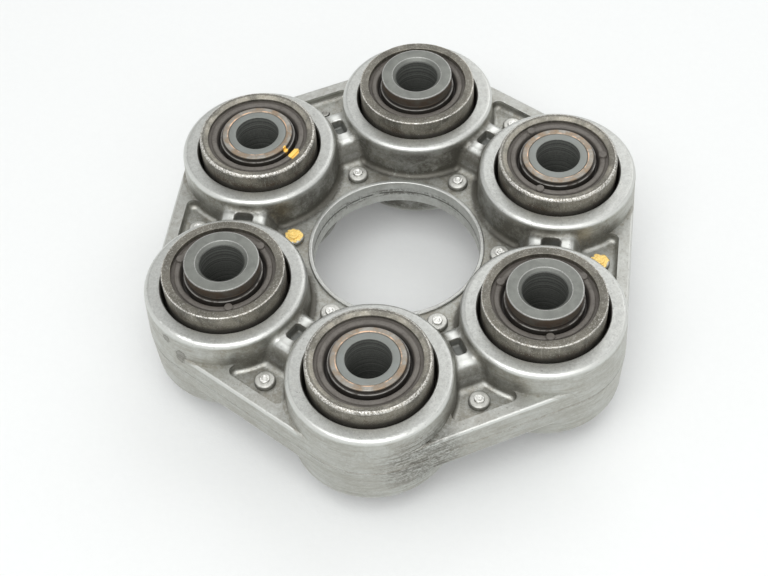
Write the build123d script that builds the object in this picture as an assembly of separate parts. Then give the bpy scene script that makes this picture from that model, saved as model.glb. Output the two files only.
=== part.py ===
from build123d import *
import math
import os

# Driving dimensions, in millimetres and degrees. Heights are measured from the parting plane,
# where the two casings meet, and radii from the axis of the coupling or of one bush.

# Layout. The bolt circle follows from the size of the bosses and the gap between them: 100 mm.
bush_count = 6
first_bush_angle = 90.0
bolt_hole = 12.2
boss_gap = 4.3

# Flanged sleeve, pressed into the inner ring
sleeve_wall = 2.2
flange_overhang = 0.2
flange_thickness = 3.1
flange_edge = 0.2
mouth_chamfer = 1.05
bore_edge = 0.3
sleeve_edge = 0.2
sleeve_drop = 0.1

# Inner ring, which stands a little out of the can
ring_neck_wall = 1.75
ring_step = 0.75
ring_neck_length = 1.1
ring_rise = 0.25
ring_round = 0.3

# Rubber between can and ring, with a moulded ridge and three small pips on one end
ridge_gap = 1.1
ridge_width = 1.5
ridge_drop = 1.0
ridge_round = 0.45
shelf_width = 0.9
shelf_drop = 0.5
moat_width = 0.5
moat_depth = 2.6
pip_radius = 1.2
pip_rise = 0.6
pip_count = 3

# Steel can of a bush, held by a collar between the casings
can_lip_width = 2.5
can_lip_thickness = 1.3
can_wall = 1.6
can_end = 19.2
square_rim_round = 0.4
rolled_rim_round = 1.0
rolled_rim_slope = 25.0
collar_width = 2.0
collar_thickness = 3.0
collar_gap = 0.1

# Casing half
can_gap = 1.0
boss_wall = 5.05
rim_height = 14.0
skirt_height = 6.0
floor_height = 3.3
draft = 2.4
rim_round = 1.5
rim_chamfer = 0.3
skirt_round = 0.8
parting_chamfer = 0.2

# Rivet pockets, between the skirt's edge and two bosses
skirt_wall = 3.9
pocket_corner = 2.0
floor_fillet = 1.5

# Bridges between neighbouring bosses, measured from the line between the bosses' axes
bridge_drop = 3.0
bridge_inner_half = 5.7
bridge_outer_half = 6.1
bridge_inner_slope = 3.4
bridge_outer_slope = 3.2
bridge_clearance = 1.0
bridge_shoulder = 2.4
bridge_foot = 2.2

# Cored hole in the middle of a bridge's top
recess_end_wall = 3.0
recess_side_wall = 0.25
recess_depth = 3.0
recess_corner = 1.2
recess_draft = 8.0
recess_floor_round = 0.7
recess_mouth_round = 0.5

# Centre hole and its raised lip
centre_margin = 3.35
centre_lip_width = 1.2
centre_lip_rise = 0.7
centre_lip_round = 0.3

# Rivets, each a pin with a washer-like head and a small upset nub at both ends
rivet_radius = 1.5
rivet_gap = 0.05
rivet_head_radius = 2.9
rivet_head_height = 1.5
rivet_head_round = 0.6
rivet_nub_radius = 1.4
rivet_nub_height = 0.5
rivet_nub_round = 0.2
rivet_dimple_radius = 0.8
rivet_dimple_depth = 0.2
rivet_tail_height = 0.5
inner_rivet_inset = 5.7
outer_rivet_inset = 4.95

# What differs from bush to bush, counted clockwise from the back one
flange_is_up = (True, False, True, False, True, False)
pips_are_up = (False, True, True, False, True, False)
pip_angles = (0.0, 11.0, 41.0, 20.0, 48.0, 75.0)
plain_tail_after_bush = 5

# Sizes that follow from the ones above
step_angle = 360.0 / bush_count
half_step = step_angle / 2
bore_radius = bolt_hole / 2
sleeve_radius = bore_radius + sleeve_wall
ring_neck_radius = sleeve_radius + ring_neck_wall
flange_radius = ring_neck_radius + flange_overhang
ring_radius = ring_neck_radius + ring_step
moat_radius = ring_radius + moat_width
ridge_inner_radius = ring_radius + ridge_gap
ridge_outer_radius = ridge_inner_radius + ridge_width
pip_circle_radius = ridge_inner_radius + ridge_width / 2
can_lip_radius = ridge_outer_radius + shelf_width
can_radius = can_lip_radius + can_lip_width
can_inner_radius = can_radius - can_wall
collar_radius = can_radius + collar_width
boss_bore_radius = can_radius + can_gap
boss_root_radius = boss_bore_radius + boss_wall

neck_half = boss_root_radius + boss_gap / 2
neck_reach = neck_half / math.tan(math.radians(half_step))
pitch_radius = neck_half / math.sin(math.radians(half_step))
centre_hole_radius = pitch_radius - boss_root_radius - centre_margin
skirt_reach = neck_reach + boss_root_radius
pocket_reach = skirt_reach - skirt_wall
inner_rivet_circle = centre_hole_radius + inner_rivet_inset
outer_rivet_circle = pocket_reach - outer_rivet_inset
bridge_top = rim_height - bridge_drop
bridge_half_width = neck_half - boss_bore_radius - bridge_clearance
bridge_inner_top = neck_reach - bridge_inner_half
bridge_outer_top = neck_reach + bridge_outer_half
recess_middle = (bridge_inner_top + bridge_outer_top) / 2
recess_length = bridge_outer_top - bridge_inner_top - 2 * recess_end_wall
recess_width = boss_gap - 2 * recess_side_wall

ring_end = can_end + ring_rise
ring_shoulder = ring_end - ring_neck_length
ridge_top = can_end - ridge_drop
can_lip_underside = can_end - can_lip_thickness
touch = 0.001
steepest_floor = 0.2
recess_steepness = 0.3


def bush_angle(index):
    """The direction of a bush from the coupling's axis."""
    return first_bush_angle - step_angle * index


def bridge_angle(index):
    """The direction of the bridge that follows a bush clockwise."""
    return bush_angle(index) - half_step


def out_along(radius, angle):
    """A place at a distance from the coupling's axis, turned to face outwards."""
    return Rot(0, 0, angle) * Pos(radius, 0, 0)


def flat_reach(point):
    """How far a point lies from the axis, measured square to the nearest flat of the hexagon."""
    directions = [math.radians(bridge_angle(index)) for index in range(bush_count)]
    return max(point.X * math.cos(a) + point.Y * math.sin(a) for a in directions)


def edges_at(shape, height):
    """The edges of a shape whose middle lies at one height."""
    return shape.edges().filter_by_position(Axis.Z, height - touch, height + touch)


def turned_section(*points):
    """A solid of revolution about Z, from its section as (radius, height) points."""
    section = make_face(Polyline(*[(radius, 0, height) for radius, height in points], close=True))
    return revolve(section, Axis.Z)


def round_edge(solid, radius, height, amount):
    """Round the circular edge of a turned solid that has this radius and height."""
    edges = [e for e in edges_at(solid, height) if abs(e.radius - radius) < touch]
    return fillet(edges, amount)


def skirt_outline():
    """The casing's outline at the parting plane: a hexagon with the bosses as its corners."""
    edges = []
    for index in range(bush_count):
        here = out_along(pitch_radius, -bush_angle(index))
        following = out_along(pitch_radius, -bush_angle(index + 1))
        start = here * Rot(0, 0, -half_step) * Pos(boss_root_radius, 0, 0)
        tip = here * Pos(boss_root_radius, 0, 0)
        end = here * Rot(0, 0, half_step) * Pos(boss_root_radius, 0, 0)
        next_start = following * Rot(0, 0, -half_step) * Pos(boss_root_radius, 0, 0)
        edges.append(ThreePointArc(start.position, tip.position, end.position))
        edges.append(Line(end.position, next_start.position))
    return make_face(edges)


def skirt():
    """The low hexagonal body, sunk to the floor inside its rim."""
    body = extrude(skirt_outline(), amount=skirt_height, taper=draft)
    body = fillet(edges_at(body, skirt_height), skirt_round)
    sunk = RegularPolygon(pocket_reach, bush_count, major_radius=False, rotation=first_bush_angle)
    return body - extrude(Pos(0, 0, floor_height) * sunk, amount=skirt_height)


def boss():
    """One tapered round boss with a rounded rim."""
    rim_radius = boss_root_radius - rim_height * math.tan(math.radians(draft))
    cone = Solid.make_cone(boss_root_radius, rim_radius, rim_height)
    return fillet(edges_at(cone, rim_height), rim_round)


def bridge():
    """One saddle between two bosses, lying along +X, with soft shoulders and feet."""
    inner_root = bridge_inner_top - bridge_inner_slope
    outer_root = bridge_outer_top + bridge_outer_slope
    top_line = FilletPolyline(
        (inner_root - 2 * bridge_foot, 0, floor_height),
        (inner_root, 0, floor_height),
        (bridge_inner_top, 0, bridge_top),
        (bridge_outer_top, 0, bridge_top),
        (outer_root, 0, floor_height),
        (outer_root + 2 * bridge_foot, 0, floor_height),
        radius=(bridge_foot, bridge_shoulder, bridge_shoulder, bridge_foot),
    )
    inner = top_line @ 0
    outer = top_line @ 1
    base = Polyline(outer, (outer.X, 0, 0), (inner.X, 0, 0), inner)
    return extrude(make_face([top_line, base]), amount=bridge_half_width, both=True)


def bridge_recess():
    """What is cored out of the top of a bridge, with a rounded bottom."""
    outline = RectangleRounded(recess_length, recess_width, recess_corner)
    place = Pos(recess_middle, 0, bridge_top + floor_fillet)
    plug = extrude(place * outline, amount=-recess_depth - floor_fillet, taper=recess_draft)
    return fillet(edges_at(plug, bridge_top - recess_depth), recess_floor_round)


def is_recess_wall(face):
    """Whether a face of the casing is one of the steep sides of a bridge's recess."""
    point = face.center()
    middles = [out_along(recess_middle, bridge_angle(index)).position for index in range(bush_count)]
    nearest = min(math.hypot(point.X - m.X, point.Y - m.Y) for m in middles)
    steep = abs(face.normal_at().Z) < recess_steepness
    return steep and nearest < recess_length / 2 + touch and point.Z < bridge_top + touch


def bush_seat():
    """What is cut out of a boss: the bore round the can and half the seat of its collar."""
    seat_radius = collar_radius + collar_gap
    seat_height = collar_thickness / 2
    above = rim_height + rim_chamfer
    return turned_section(
        (0, 0),
        (seat_radius, 0),
        (seat_radius, seat_height),
        (boss_bore_radius, seat_height),
        (boss_bore_radius, rim_height - rim_chamfer),
        (boss_bore_radius + 2 * rim_chamfer, above),
        (0, above),
    )


def centre_lip():
    """The thin raised ring round the centre hole, rounded on both sides."""
    top = floor_height + centre_lip_rise
    disc = Solid.make_cylinder(centre_hole_radius + centre_lip_width, top)
    ring = disc - Solid.make_cylinder(centre_hole_radius, top)
    return fillet(edges_at(ring, top), centre_lip_round)


def casing_half():
    """The upper casing: a die casting, flat underneath, that is riveted to its like."""
    bushes = [out_along(pitch_radius, bush_angle(index)) for index in range(bush_count)]
    necks = [Rot(0, 0, bridge_angle(index)) for index in range(bush_count)]
    body = skirt() + [place * boss() for place in bushes] + [place * bridge() for place in necks]
    body = chamfer(edges_at(body, 0), parting_chamfer)

    # The pockets' tight corners, where their outer wall runs into a boss
    on_wall = [e for e in body.edges() if abs(flat_reach(e.center()) - pocket_reach) < touch]
    corners = [e for e in on_wall if floor_height + touch < e.center().Z < skirt_height - touch]
    body = fillet(corners, pocket_corner)

    # One continuous fillet, where the floor and the bridges meet the walls round them
    inside = [f for f in body.faces() if flat_reach(f.center()) < pocket_reach - touch]
    low = [f for f in inside if floor_height - touch < f.center().Z < bridge_top + touch]
    ground = [f for f in low if f.normal_at().Z > steepest_floor]
    edges = [e for f in ground for e in f.edges()]
    body = fillet([e for e in edges if edges.count(e) == 1], floor_fillet)

    # The bridges' recesses, each with a softened mouth
    body -= [place * bridge_recess() for place in necks]
    walls = [f for f in body.faces() if is_recess_wall(f)]
    rims = [e for f in walls for e in f.edges() if e.center().Z > bridge_top - touch]
    body = fillet(rims, recess_mouth_round)

    # The seats of the bushes, the holes of the rivets and the open centre
    rivet_hole = Solid.make_cylinder(rivet_radius + rivet_gap, rim_height)
    circles = (inner_rivet_circle, outer_rivet_circle)
    rivets = [place * Pos(radius, 0, 0) * rivet_hole for place in necks for radius in circles]
    body -= [place * bush_seat() for place in bushes] + rivets
    body -= Solid.make_cylinder(centre_hole_radius, rim_height)
    return body + centre_lip()


def can():
    """The steel outer shell of a bush, square-rimmed at the top and rolled over at the bottom."""
    half_collar = collar_thickness / 2
    slope = math.radians(rolled_rim_slope)
    crown = can_end + rolled_rim_round * (1 / math.cos(slope) - 1)
    corner = crown + rolled_rim_round * math.tan(slope)
    lip = corner - (can_radius - can_lip_radius) * math.tan(slope)
    shell = turned_section(
        (can_inner_radius, -can_lip_underside),
        (can_lip_radius, -can_lip_underside),
        (can_lip_radius, -lip),
        (can_radius, -corner),
        (can_radius, -half_collar),
        (collar_radius, -half_collar),
        (collar_radius, half_collar),
        (can_radius, half_collar),
        (can_radius, can_end),
        (can_lip_radius, can_end),
        (can_lip_radius, can_lip_underside),
        (can_inner_radius, can_lip_underside),
    )
    shell = round_edge(shell, can_radius, can_end, square_rim_round)
    return round_edge(shell, can_radius, -corner, rolled_rim_round)


def inner_ring():
    """The ring that the rubber is bonded to, with a narrower neck at each end."""
    ring = turned_section(
        (sleeve_radius, -ring_end),
        (ring_neck_radius, -ring_end),
        (ring_neck_radius, -ring_shoulder),
        (ring_radius, -ring_shoulder),
        (ring_radius, ring_shoulder),
        (ring_neck_radius, ring_shoulder),
        (ring_neck_radius, ring_end),
        (sleeve_radius, ring_end),
    )
    for height in (-ring_end, ring_end):
        ring = fillet(edges_at(ring, height), ring_round)
    return ring


def rubber(pips_up, pip_angle):
    """The rubber between ring and can, ridged at both ends, with its pips on one of them."""
    moat_floor = ridge_top - moat_depth
    shelf = ridge_top - shelf_drop
    upper = [
        (ring_radius, moat_floor),
        (moat_radius, moat_floor),
        (ridge_inner_radius, ridge_top),
        (ridge_outer_radius, ridge_top),
        (ridge_outer_radius, shelf),
        (can_lip_radius, shelf),
        (can_lip_radius, can_lip_underside),
        (can_inner_radius, can_lip_underside),
    ]
    lower = [(radius, -height) for radius, height in reversed(upper)]
    ring = turned_section(*upper, *lower)
    for height in (-ridge_top, ridge_top):
        ring = fillet(edges_at(ring, height), ridge_round)
    pip = fillet(edges_at(Solid.make_cylinder(pip_radius, moat_depth), moat_depth), ridge_round)
    lift = ridge_top + pip_rise - moat_depth
    for place in PolarLocations(pip_circle_radius, pip_count, pip_angle):
        ring += place * Pos(0, 0, lift) * pip
    return ring if pips_up else Rot(180, 0, 0) * ring


def flanged_sleeve():
    """The hard sleeve that a bolt goes through, with its flange on top of the inner ring."""
    top = ring_end + flange_thickness
    bottom = -ring_end + sleeve_drop
    return turned_section(
        (bore_radius + bore_edge, bottom),
        (sleeve_radius - sleeve_edge, bottom),
        (sleeve_radius, bottom + sleeve_edge),
        (sleeve_radius, ring_end),
        (flange_radius, ring_end),
        (flange_radius, top - flange_edge),
        (flange_radius - flange_edge, top),
        (bore_radius + mouth_chamfer, top),
        (bore_radius, top - mouth_chamfer),
        (bore_radius, bottom + bore_edge),
    )


def rivet_end(head):
    """The upper half of a rivet, with its head or with the plain end of its pin."""
    seat = floor_height
    top = seat + rivet_head_height + rivet_nub_height if head else seat + rivet_tail_height
    pin = Solid.make_cylinder(rivet_radius, seat)
    nub = Solid.make_cylinder(rivet_nub_radius, top - seat, Plane((0, 0, seat)))
    nub = fillet(edges_at(nub, top), rivet_nub_round)
    end = pin + nub
    if head:
        disc = Solid.make_cylinder(rivet_head_radius, rivet_head_height, Plane((0, 0, seat)))
        end += fillet(edges_at(disc, seat + rivet_head_height), rivet_head_round)
    dimple = Solid.make_cone(rivet_dimple_radius - rivet_dimple_depth, rivet_dimple_radius, rivet_dimple_depth)
    return end - Pos(0, 0, top - rivet_dimple_depth) * dimple


def rivet(plain_top=False):
    """A whole rivet, headed at both ends unless its top end is left plain."""
    return rivet_end(head=not plain_top) + Rot(180, 0, 0) * rivet_end(head=True)


def save(shape, name):
    """Write one piece of the coupling to its own file."""
    export_step(shape, f"parts/{name}.step")


os.makedirs("parts", exist_ok=True)

casing = casing_half()
save(casing, "casing_upper")
save(Rot(180, 0, 0) * casing, "casing_lower")

bush_can = can()
bush_ring = inner_ring()
sleeve = flanged_sleeve()
headed_rivet = rivet()
plain_rivet = rivet(plain_top=True)

for index in range(bush_count):
    number = index + 1
    place = out_along(pitch_radius, bush_angle(index))
    way_up = Rot(0, 0, 0) if flange_is_up[index] else Rot(180, 0, 0)
    save(place * way_up * bush_can, f"bush_can_{number}")
    save(place * way_up * bush_ring, f"bush_inner_ring_{number}")
    save(place * way_up * sleeve, f"flanged_sleeve_{number}")
    save(Pos(place.position) * rubber(pips_are_up[index], pip_angles[index]), f"bush_rubber_{number}")

    here = bridge_angle(index)
    outer = plain_rivet if index == plain_tail_after_bush else headed_rivet
    save(out_along(inner_rivet_circle, here) * headed_rivet, f"inner_rivet_{number}")
    save(out_along(outer_rivet_circle, here) * outer, f"outer_rivet_{number}")
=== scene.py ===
import math

import bmesh
import bpy
from bpy.props import FloatProperty, FloatVectorProperty, IntProperty, PointerProperty
from mathutils import Matrix, Vector


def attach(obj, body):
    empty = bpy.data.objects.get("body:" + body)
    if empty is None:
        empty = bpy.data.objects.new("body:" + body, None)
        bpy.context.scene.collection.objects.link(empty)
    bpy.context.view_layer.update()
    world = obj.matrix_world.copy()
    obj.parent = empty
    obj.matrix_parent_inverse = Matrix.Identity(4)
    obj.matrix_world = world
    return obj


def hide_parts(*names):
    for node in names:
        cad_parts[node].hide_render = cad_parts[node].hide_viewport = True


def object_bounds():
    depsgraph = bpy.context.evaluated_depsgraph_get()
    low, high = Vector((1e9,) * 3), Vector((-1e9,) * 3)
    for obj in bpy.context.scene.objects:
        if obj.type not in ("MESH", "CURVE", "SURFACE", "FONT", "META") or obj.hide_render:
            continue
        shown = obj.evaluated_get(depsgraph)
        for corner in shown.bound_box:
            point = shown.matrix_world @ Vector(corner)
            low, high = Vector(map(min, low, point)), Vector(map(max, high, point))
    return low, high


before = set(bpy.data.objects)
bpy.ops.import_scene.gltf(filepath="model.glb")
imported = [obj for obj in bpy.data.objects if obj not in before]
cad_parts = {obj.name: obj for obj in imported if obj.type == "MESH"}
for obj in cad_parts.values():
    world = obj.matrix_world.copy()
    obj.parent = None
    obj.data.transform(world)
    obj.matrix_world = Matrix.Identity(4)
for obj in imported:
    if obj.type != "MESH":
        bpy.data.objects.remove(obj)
CAD_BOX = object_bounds()
MM = 0.001
BUSHES = range(1, 7)

bl_info = {
    "name": "Disc coupling",
    "version": (1, 0, 0),
    "blender": (4, 5, 0),
    "location": "View3D > Sidebar > Coupling",
    "description": "Casings, rubber bushes and rivets of a disc coupling, with a studio stage",
    "category": "Object",
}


# Properties


def length(name, description, default):
    """A length in millimetres that a user may change."""
    return FloatProperty(name=name, description=description, default=default * MM, subtype="DISTANCE", unit="LENGTH")


def colour(name, description, default):
    """A colour that a user may change."""
    return FloatVectorProperty(name=name, description=description, default=default, size=3, min=0, max=1, subtype="COLOR")


def share(name, description, default, highest=1.0):
    """A plain number, mostly from 0 to 1."""
    return FloatProperty(name=name, description=description, default=default, min=0, max=highest, subtype="FACTOR")


def angle(name, description, degrees):
    """An angle that a user may change."""
    return FloatProperty(name=name, description=description, default=math.radians(degrees), subtype="ANGLE")


class LayoutSizes(bpy.types.PropertyGroup):
    """Where the bushes and rivets stand."""

    bolt_circle: length("Bolt circle", "Radius of the circle of bush axes", 50.0)
    inner_rivets: length("Inner rivets", "Radius of the circle of inner rivets", 29.5)
    outer_rivets: length("Outer rivets", "Radius of the circle of outer rivets", 57.3)
    first_bush: angle("First bush", "Direction of bush 1 from the coupling's axis", 90.0)
    bushes: IntProperty(name="Bushes", description="How many bushes stand on the circle", default=6, min=2)
    segments: IntProperty(name="Segments", description="Facets round each turned piece", default=144, min=24)


class CasingSizes(bpy.types.PropertyGroup):
    """The casing's levels and radii that its finish follows."""

    rim_height: length("Rim height", "Height of the boss rims over the parting plane", 14.0)
    floor_height: length("Floor height", "Height of the sunk floor over the parting plane", 3.3)
    skirt_height: length("Skirt height", "Height of the skirt over the parting plane", 6.0)
    boss_bore: length("Boss bore", "Radius of the bore round a bush can", 17.8)
    boss_root: length("Boss root", "Radius of a boss at the parting plane", 22.85)
    centre_hole: length("Centre hole", "Radius of the hole in the middle", 23.8)
    recess_middle: length("Recess", "Distance of a bridge recess from the coupling's axis", 43.5)
    recess_length: length("Recess length", "Length of a bridge recess", 5.8)
    recess_width: length("Recess width", "Width of a bridge recess", 3.8)
    bridge_top: length("Bridge top", "Height of the bridges over the parting plane", 11.0)


class CanSizes(bpy.types.PropertyGroup):
    """The steel can of a bush."""

    radius: length("Radius", "Outer radius of the can", 16.8)
    inner_radius: length("Inner radius", "Inner radius of the can's wall", 15.2)
    lip_radius: length("Lip radius", "Inner radius of the turned-in lips", 14.3)
    end: length("End", "Distance of both ends from the parting plane", 19.2)
    lip_thickness: length("Lip thickness", "Thickness of the turned-in lips", 1.3)
    square_round: length("Square rim's round", "Rounding of the square rim", 0.4)
    rolled_round: length("Rolled rim's round", "Rounding of the rolled rim", 1.0)
    rolled_slope: angle("Rolled rim's slope", "Fall of the rolled rim towards the bush axis", 25.0)
    collar_radius: length("Collar radius", "Outer radius of the collar between the casings", 18.8)
    collar_thickness: length("Collar thickness", "Thickness of the collar", 3.0)


class RubberSizes(bpy.types.PropertyGroup):
    """The rubber between can and inner ring."""

    ridge_inner: length("Ridge inside", "Inner radius of the moulded ridge", 11.9)
    ridge_outer: length("Ridge outside", "Outer radius of the moulded ridge", 13.4)
    ridge_top: length("Ridge top", "Distance of the ridge's top from the parting plane", 18.2)
    ridge_round: length("Ridge round", "Rounding of the ridge", 0.6)
    moat_width: length("Moat width", "Width of the moat's floor beside the inner ring", 0.5)
    moat_depth: length("Moat depth", "Depth of the moat below the ridge", 2.6)
    shelf_drop: length("Shelf drop", "Depth of the shelf between ridge and can", 0.5)
    pip_circle: length("Pip circle", "Radius of the circle of moulded pips", 12.65)
    pip_radius: length("Pip radius", "Radius of a moulded pip", 1.2)
    pip_rise: length("Pip rise", "Height of a pip over the ridge", 0.6)


class SleeveSizes(bpy.types.PropertyGroup):
    """The inner ring and the flanged sleeve pressed into it."""

    ring_radius: length("Ring radius", "Outer radius of the inner ring", 10.8)
    neck_radius: length("Neck radius", "Outer radius of the ring's necks", 10.05)
    neck_length: length("Neck length", "Length of the ring's necks", 1.1)
    ring_end: length("Ring end", "Distance of the ring's ends from the parting plane", 19.45)
    ring_round: length("Ring round", "Rounding of the ring's ends", 0.3)
    sleeve_radius: length("Sleeve radius", "Outer radius of the sleeve", 8.3)
    bore_radius: length("Bore radius", "Radius of the bolt hole", 6.1)
    flange_radius: length("Flange radius", "Outer radius of the sleeve's flange", 10.25)
    flange_top: length("Flange top", "Distance of the flange's face from the parting plane", 22.55)
    mouth: length("Mouth", "Depth of the bevel at the bolt hole's mouth", 1.05)
    edge: length("Edge", "Rounding of the sleeve's edges", 0.22)


class RivetSizes(bpy.types.PropertyGroup):
    """The rivets between the casings."""

    pin_radius: length("Pin radius", "Radius of the pin", 1.5)
    head_radius: length("Head radius", "Radius of the head", 2.9)
    head_height: length("Head height", "Height of the head over the casing's floor", 1.5)
    head_round: length("Head round", "Rounding of the head", 0.6)
    nub_radius: length("Nub radius", "Radius of the upset nub", 1.4)
    nub_height: length("Nub height", "Height of the nub over the head", 0.5)
    nub_round: length("Nub round", "Rounding of the nub", 0.2)
    dimple_radius: length("Dimple radius", "Radius of the dimple in the nub", 0.8)
    dimple_depth: length("Dimple depth", "Depth of the dimple in the nub", 0.2)


class CastingLook(bpy.types.PropertyGroup):
    """Colours of the die-cast casings."""

    skin: colour("Skin", "Die-cast aluminium skin", (0.50, 0.51, 0.48))
    rim: colour("Rim", "Worn, machined rims", (0.58, 0.59, 0.565))
    dust: colour("Dust", "Pale dusty spots on the skin", (0.66, 0.67, 0.63))
    stain: colour("Stain", "Warm stain on the skin", (0.33, 0.315, 0.27))
    # Oily grime, also used as painted shade in corners and gaps and at the rivet feet
    grime_and_shade: colour("Grime", "Oily grime in the corners", (0.075, 0.072, 0.060))
    # Painted shade inside the recesses of the bridges
    recess: colour("Recess", "Dull grey inside the recesses of the bridges", (0.20, 0.21, 0.20))
    shine: share("Shine", "Roughness of the worn rims", 0.40)
    dullness: share("Dullness", "Roughness of the cast skin", 0.52)
    # Painted shade: the share by which what faces up or down is darkened
    up_down_shade: share("Open dulling", "How much darker the oxide makes what faces up or down", 0.26)


class BushLook(bpy.types.PropertyGroup):
    """Colours of the bushes."""

    can: colour("Can", "Brownish patina on the steel can", (0.25, 0.237, 0.20))
    can_bare: colour("Bare can", "Bare steel where the can is worn", (0.70, 0.69, 0.65))
    rubber: colour("Rubber", "Dusty dark rubber", (0.070, 0.062, 0.054))
    rubber_worn: colour("Worn rubber", "Paler rubber on the ridge", (0.120, 0.109, 0.095))
    copper: colour("Copper", "Copper-brown film on the inner ring", (0.27, 0.205, 0.145))
    copper_bright: colour("Bright copper", "Bright line where the film is rubbed", (0.85, 0.50, 0.28))
    sleeve: colour("Sleeve", "Phosphated steel", (0.178, 0.185, 0.169))
    sleeve_bare: colour("Bare sleeve", "Bare steel on the sleeve's edges", (0.40, 0.40, 0.385))
    rust: colour("Rust", "Brown stain on steel", (0.11, 0.075, 0.05))


class RivetLook(bpy.types.PropertyGroup):
    """Colours of the rivets."""

    steel: colour("Steel", "Dull rivet steel", (0.50, 0.50, 0.467))
    bright: colour("Bright", "Bright pressed metal", (0.78, 0.78, 0.75))
    paint: colour("Paint", "Yellow marking paint", (0.95, 0.60, 0.13))


class StageLook(bpy.types.PropertyGroup):
    """Floor, lamps and camera."""

    floor: colour("Floor", "Colour of the floor", (0.70, 0.715, 0.71))
    key: FloatProperty(name="Key lamp", description="Power of the large lamp overhead", default=5.0, min=0, unit="POWER")
    back: FloatProperty(name="Back lamp", description="Power of the large lamp behind", default=2.8, min=0, unit="POWER")
    fill: FloatProperty(name="Fill lamp", description="Power of the lamp behind the camera", default=0.9, min=0, unit="POWER")
    sky: share("Sky", "Strength of the world's light on the object", 0.60, 2.0)
    glow: share("Glow", "How much white the floor adds for the camera and for reflections", 0.12)
    lens: FloatProperty(name="Lens", description="Focal length of the camera on a 36 mm sensor", default=72.37, min=10)


GROUPS = {
    "layout": LayoutSizes,
    "casing": CasingSizes,
    "can": CanSizes,
    "rubber": RubberSizes,
    "sleeve": SleeveSizes,
    "rivet": RivetSizes,
    "casting_look": CastingLook,
    "bush_look": BushLook,
    "rivet_look": RivetLook,
    "stage_look": StageLook,
}


# Shader expressions


def socket(sockets, key):
    """The socket with this identifier or name."""
    for found in sockets:
        if found.identifier == key:
            return found
    for found in sockets:
        if found.name == key and found.enabled:
            return found
    raise KeyError(f"no socket {key}")


class Term:
    """A shader socket that joins in Python expressions."""

    def __init__(self, finish, output):
        self.finish = finish
        self.output = output

    def __add__(self, other):
        return self.finish.math("ADD", self, other)

    def __radd__(self, other):
        return self.finish.math("ADD", other, self)

    def __sub__(self, other):
        return self.finish.math("SUBTRACT", self, other)

    def __rsub__(self, other):
        return self.finish.math("SUBTRACT", other, self)

    def __mul__(self, other):
        return self.finish.math("MULTIPLY", self, other)

    def __rmul__(self, other):
        return self.finish.math("MULTIPLY", other, self)

    def __truediv__(self, other):
        return self.finish.math("DIVIDE", self, other)

    def __rtruediv__(self, other):
        return self.finish.math("DIVIDE", other, self)

    def __pow__(self, other):
        return self.finish.math("POWER", self, other)

    def __neg__(self):
        return self.finish.math("MULTIPLY", self, -1.0)

    def __abs__(self):
        return self.finish.math("ABSOLUTE", self)


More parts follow.
